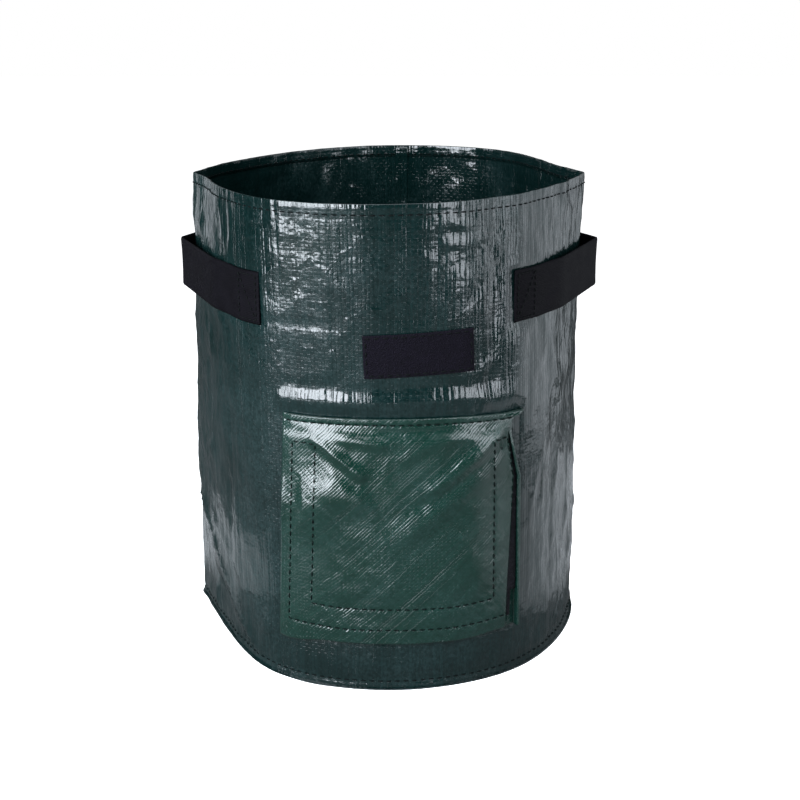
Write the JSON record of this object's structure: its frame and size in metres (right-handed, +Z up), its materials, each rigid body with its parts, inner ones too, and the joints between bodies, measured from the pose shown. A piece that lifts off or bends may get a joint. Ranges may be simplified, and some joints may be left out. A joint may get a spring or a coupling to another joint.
{
  "type": "fabric grow bag",
  "caption": "Round open-topped planter bag of woven plastic cloth with a hinged access flap low on its front, a patch that keeps the flap up and a webbing loop handle on each side.",
  "frame": {"origin": "on the floor under the middle of the round base, on the underside of the base panel", "axes": "+Z up through the open mouth, the access flap faces -Y, the two handles stand out along -X and +X"},
  "size_m": [0.3148, 0.3128, 0.35],
  "materials": {
    "wall_cloth": "glossy laminated woven tape cloth, dark blue-green",
    "flap_cloth": "glossy laminated woven tape cloth, dark green, cut on the bias",
    "webbing": "matte woven webbing, black",
    "loop_tape": "brushed loop pile, black with a violet cast",
    "hook_tape": "stiff hook tape, black",
    "thread": "twisted polyester sewing thread, black"
  },
  "bodies": {
    "bag": {"back_seam_thread": "thread", "base_panel": "wall_cloth", "base_seam_thread": "thread", "flap_hinge_hem": "flap_cloth", "flap_hinge_thread": "thread", "keeper_patch": "loop_tape", "keeper_patch_thread": "thread", "left_handle_front_leg": "webbing", "left_handle_front_thread": "thread", "left_handle_rear_leg": "webbing", "left_handle_rear_thread": "thread", "loop_tape_bottom": "loop_tape", "loop_tape_left": "loop_tape", "loop_tape_right": "loop_tape", "right_handle_front_leg": "webbing", "right_handle_front_thread": "thread", "right_handle_rear_leg": "webbing", "right_handle_rear_thread": "thread", "rim_hem_thread": "thread", "side_wall": "wall_cloth"},
    "flap": {"flap_inner_thread": "thread", "flap_outer_thread": "thread", "flap_panel": "flap_cloth", "hook_tape_bottom": "hook_tape", "hook_tape_left": "hook_tape", "hook_tape_right": "hook_tape"},
    "left_handle": {"left_handle_grip": "webbing"},
    "right_handle": {"right_handle_grip": "webbing"}
  },
  "joints": [
    {"name": "flap_hinge", "type": "hinge", "parent": "bag", "child": "flap", "pos_m": [0.0075, -0.15268, 0.2003], "axis": [-1, 0, 0], "range_deg": [0, 165]},
    {"name": "left_handle_lift", "type": "hinge", "parent": "bag", "child": "left_handle", "pos_m": [-0.1225, 0, 0.3], "axis": [0, 1, 0], "range_deg": [0, 35]},
    {"name": "right_handle_lift", "type": "hinge", "parent": "bag", "child": "right_handle", "pos_m": [0.1225, 0, 0.3], "axis": [0, -1, 0], "range_deg": [0, 35]}
  ]
}
